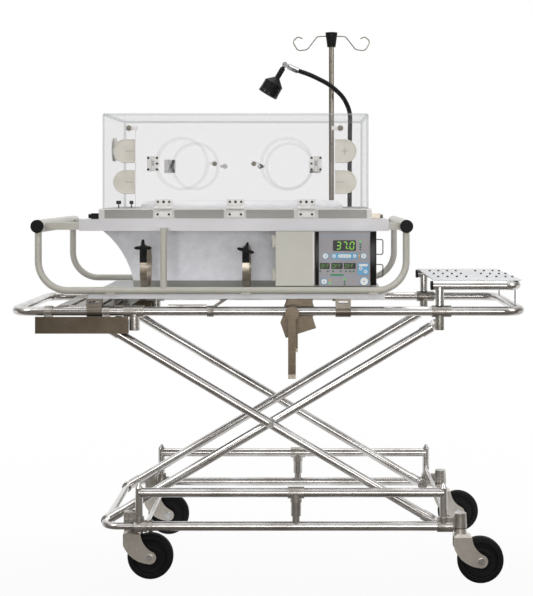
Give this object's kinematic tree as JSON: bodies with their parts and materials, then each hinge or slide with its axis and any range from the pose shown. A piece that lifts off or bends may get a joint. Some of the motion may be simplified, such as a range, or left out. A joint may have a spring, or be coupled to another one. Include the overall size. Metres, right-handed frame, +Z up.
{
  "type": "infant incubator on folding stretcher",
  "caption": "Transport infant incubator with clear hood, drop-down front door, hand ports and controller, clamped on a folding scissor-leg stretcher with swivel casters.",
  "frame": {"origin": "on the floor, under the middle of the stretcher's outline", "axes": "+Z up, +X along the stretcher to the end with the shelf, -Y towards the front door of the hood"},
  "size_m": [1.422, 0.5774, 1.564],
  "materials": {
    "polished_aluminium": "polished tube with a fine drawn grain",
    "cast_aluminium": "satin cast and polished",
    "stainless_sheet": "brushed sheet, warm tone",
    "caster_steel": "satin plated steel",
    "tyre_rubber": "solid rubber tyre on a black hub",
    "grey_plate": "grey painted sheet",
    "white_sheet": "white powder coat",
    "beige_paint": "beige-grey powder coat",
    "white_paint": "white gloss paint",
    "housing_plastic": "light blue-grey moulding",
    "black_plastic": "black moulded plastic",
    "panel_plastic": "grey panel in a black bezel",
    "battery_plastic": "dark battery casing",
    "clear_acrylic": "clear polished acrylic",
    "strip_grey": "light grey moulding",
    "white_plastic": "white moulded plastic",
    "silicone": "soft ivory silicone",
    "mattress_cover": "white wipe-clean cover",
    "steel_rod": "polished steel",
    "latch_grey": "grey moulded knob"
  },
  "bodies": {
    "root": {"base_frame": "polished_aluminium", "base_castings": "cast_aluminium"},
    "deck": {"deck_frame": "polished_aluminium", "deck_fittings": "cast_aluminium", "hold_down_clamps": "cast_aluminium", "roller_tracks": "stainless_sheet", "platform_plate": "grey_plate", "latch_plates": "stainless_sheet", "shelf_frame": "polished_aluminium", "shelf_plate": "white_sheet", "end_caps": "black_plastic", "adapter_plate": "white_sheet", "base_tray": "beige_paint", "housing": "housing_plastic", "cage_frame": "beige_paint", "upper_deck": "white_paint", "controller_case": "panel_plastic", "battery_pack": "battery_plastic", "cable_bails": "steel_rod", "strap_clamps": "stainless_sheet", "hood_shell": "clear_acrylic", "hood_base_strip": "strip_grey", "hood_hinge_leaves": "white_plastic", "hood_locks": "black_plastic", "grommets": "silicone", "mattress_tray": "white_plastic", "mattress": "mattress_cover", "pole_socket": "strip_grey", "lamp_arm": "black_plastic"},
    "legs_outer": {"outer_legs": "polished_aluminium"},
    "track_rollers": {"track_rollers": "black_plastic"},
    "legs_inner": {"inner_legs": "polished_aluminium"},
    "base_slide": {"sliding_base_tube": "polished_aluminium"},
    "release_lever": {"release_lever": "stainless_sheet"},
    "front_door": {"front_door": "clear_acrylic", "front_door_hinges": "white_plastic"},
    "module_door": {"module_door": "beige_paint"},
    "iv_pole": {"iv_pole": "steel_rod", "iv_pole_head": "black_plastic"},
    "lamp_head": {"lamp_head": "black_plastic"},
    "swivel_front_left": {"fork_front_left": "caster_steel"},
    "wheel_front_left": {"wheel_front_left": "tyre_rubber"},
    "swivel_rear_left": {"fork_rear_left": "caster_steel"},
    "wheel_rear_left": {"wheel_rear_left": "tyre_rubber"},
    "swivel_front_right": {"fork_front_right": "caster_steel"},
    "wheel_front_right": {"wheel_front_right": "tyre_rubber"},
    "swivel_rear_right": {"fork_rear_right": "caster_steel"},
    "wheel_rear_right": {"wheel_rear_right": "tyre_rubber"},
    "star_knob_left": {"star_knob_left": "black_plastic"},
    "door_latch_left": {"door_latch_left": "latch_grey"},
    "port_door_front_left": {"port_door_front_left": "clear_acrylic"},
    "port_latch_front_left": {"port_latch_front_left": "white_plastic"},
    "port_door_rear_left": {"port_door_rear_left": "clear_acrylic"},
    "port_latch_rear_left": {"port_latch_rear_left": "white_plastic"},
    "star_knob_right": {"star_knob_right": "black_plastic"},
    "door_latch_right": {"door_latch_right": "latch_grey"},
    "port_door_front_right": {"port_door_front_right": "clear_acrylic"},
    "port_latch_front_right": {"port_latch_front_right": "white_plastic"},
    "port_door_rear_right": {"port_door_rear_right": "clear_acrylic"},
    "port_latch_rear_right": {"port_latch_rear_right": "white_plastic"}
  },
  "joints": [
    {"name": "swivel_front_left", "type": "hinge", "parent": "root", "child": "swivel_front_left", "pos_m": [-0.379, -0.226, 0.13], "axis": [0, 0, 1], "continuous": true},
    {"name": "roll_front_left", "type": "hinge", "parent": "swivel_front_left", "child": "wheel_front_left", "pos_m": [-0.324, -0.226, 0.0635], "axis": [0, 1, 0], "continuous": true},
    {"name": "swivel_rear_left", "type": "hinge", "parent": "root", "child": "swivel_rear_left", "pos_m": [-0.379, 0.226, 0.13], "axis": [0, 0, 1], "continuous": true},
    {"name": "roll_rear_left", "type": "hinge", "parent": "swivel_rear_left", "child": "wheel_rear_left", "pos_m": [-0.324, 0.226, 0.0635], "axis": [0, 1, 0], "continuous": true},
    {"name": "swivel_front_right", "type": "hinge", "parent": "root", "child": "swivel_front_right", "pos_m": [0.526, -0.262, 0.13], "axis": [0, 0, 1], "continuous": true},
    {"name": "roll_front_right", "type": "hinge", "parent": "swivel_front_right", "child": "wheel_front_right", "pos_m": [0.581, -0.262, 0.0635], "axis": [0, 1, 0], "continuous": true},
    {"name": "swivel_rear_right", "type": "hinge", "parent": "root", "child": "swivel_rear_right", "pos_m": [0.526, 0.262, 0.13], "axis": [0, 0, 1], "continuous": true},
    {"name": "roll_rear_right", "type": "hinge", "parent": "swivel_rear_right", "child": "wheel_rear_right", "pos_m": [0.581, 0.262, 0.0635], "axis": [0, 1, 0], "continuous": true},
    {"name": "fold", "type": "hinge", "parent": "root", "child": "legs_outer", "pos_m": [0.466, 0, 0.1543], "axis": [0, -1, 0], "range_deg": [0, 17.8]},
    {"name": "legs_cross", "type": "hinge", "parent": "legs_outer", "child": "legs_inner", "pos_m": [0.0085, 0, 0.42615], "axis": [0, 1, 0], "range_deg": [0, 35.6]},
    {"name": "deck_level", "type": "hinge", "parent": "legs_inner", "child": "deck", "pos_m": [0.466, 0, 0.698], "axis": [0, -1, 0], "range_deg": [0, 17.8]},
    {"name": "slider_level", "type": "hinge", "parent": "legs_inner", "child": "base_slide", "pos_m": [-0.449, 0, 0.1543], "axis": [0, -1, 0], "range_deg": [0, 17.8]},
    {"name": "roller_spin", "type": "hinge", "parent": "legs_outer", "child": "track_rollers", "pos_m": [-0.449, 0, 0.698], "axis": [0, 1, 0], "continuous": true},
    {"name": "release_swing", "type": "hinge", "parent": "deck", "child": "release_lever", "pos_m": [0.067, 0, 0.737], "axis": [0, 1, 0], "range_deg": [0, 30]},
    {"name": "front_door_drop", "type": "hinge", "parent": "deck", "child": "front_door", "pos_m": [-0.0925, -0.2195, 1.022], "axis": [1, 0, 0], "range_deg": [0, 92]},
    {"name": "module_door_swing", "type": "hinge", "parent": "deck", "child": "module_door", "pos_m": [0.016, -0.241, 0.884], "axis": [0, 0, -1], "range_deg": [0, 100]},
    {"name": "pole_turn", "type": "hinge", "parent": "deck", "child": "iv_pole", "pos_m": [0.183, 0.243, 0.99], "axis": [0, 0, 1], "range_deg": [-90, 90]},
    {"name": "lamp_tilt", "type": "hinge", "parent": "deck", "child": "lamp_head", "pos_m": [0.04, 0.125, 1.452], "axis": [0, 1, 0], "range_deg": [-25, 35]},
    {"name": "star_turn_left", "type": "hinge", "parent": "deck", "child": "star_knob_left", "pos_m": [-0.342, -0.245, 0.913], "axis": [0, 1, 0], "continuous": true},
    {"name": "star_turn_right", "type": "hinge", "parent": "deck", "child": "star_knob_right", "pos_m": [-0.0606, -0.245, 0.906], "axis": [0, 1, 0], "continuous": true},
    {"name": "latch_turn_left", "type": "hinge", "parent": "deck", "child": "door_latch_left", "pos_m": [-0.3857, -0.212, 1.2435], "axis": [0, 1, 0], "range_deg": [0, 50]},
    {"name": "latch_turn_right", "type": "hinge", "parent": "deck", "child": "door_latch_right", "pos_m": [0.2, -0.212, 1.2435], "axis": [0, -1, 0], "range_deg": [0, 50]},
    {"name": "port_swing_front_left", "type": "hinge", "parent": "front_door", "child": "port_door_front_left", "pos_m": [-0.3192, -0.214, 1.145], "axis": [0, 0, -1], "range_deg": [0, 100]},
    {"name": "port_latch_turn_front_left", "type": "hinge", "parent": "front_door", "child": "port_latch_front_left", "pos_m": [-0.1482, -0.21, 1.145], "axis": [0, 1, 0], "range_deg": [-90, 90]},
    {"name": "port_swing_rear_left", "type": "hinge", "parent": "deck", "child": "port_door_rear_left", "pos_m": [-0.3192, 0.214, 1.145], "axis": [0, 0, 1], "range_deg": [0, 100]},
    {"name": "port_latch_turn_rear_left", "type": "hinge", "parent": "deck", "child": "port_latch_rear_left", "pos_m": [-0.1482, 0.21, 1.145], "axis": [0, 1, 0], "range_deg": [-90, 90]},
    {"name": "port_swing_front_right", "type": "hinge", "parent": "front_door", "child": "port_door_front_right", "pos_m": [0.1316, -0.214, 1.145], "axis": [0, 0, 1], "range_deg": [0, 100]},
    {"name": "port_latch_turn_front_right", "type": "hinge", "parent": "front_door", "child": "port_latch_front_right", "pos_m": [-0.0394, -0.21, 1.145], "axis": [0, 1, 0], "range_deg": [-90, 90]},
    {"name": "port_swing_rear_right", "type": "hinge", "parent": "deck", "child": "port_door_rear_right", "pos_m": [0.1316, 0.214, 1.145], "axis": [0, 0, -1], "range_deg": [0, 100]},
    {"name": "port_latch_turn_rear_right", "type": "hinge", "parent": "deck", "child": "port_latch_rear_right", "pos_m": [-0.0394, 0.21, 1.145], "axis": [0, 1, 0], "range_deg": [-90, 90]}
  ],
  "couplings": [
    {"joint": "legs_cross", "follows": "fold", "ratio": 2},
    {"joint": "deck_level", "follows": "fold", "ratio": 1},
    {"joint": "slider_level", "follows": "fold", "ratio": 1}
  ]
}
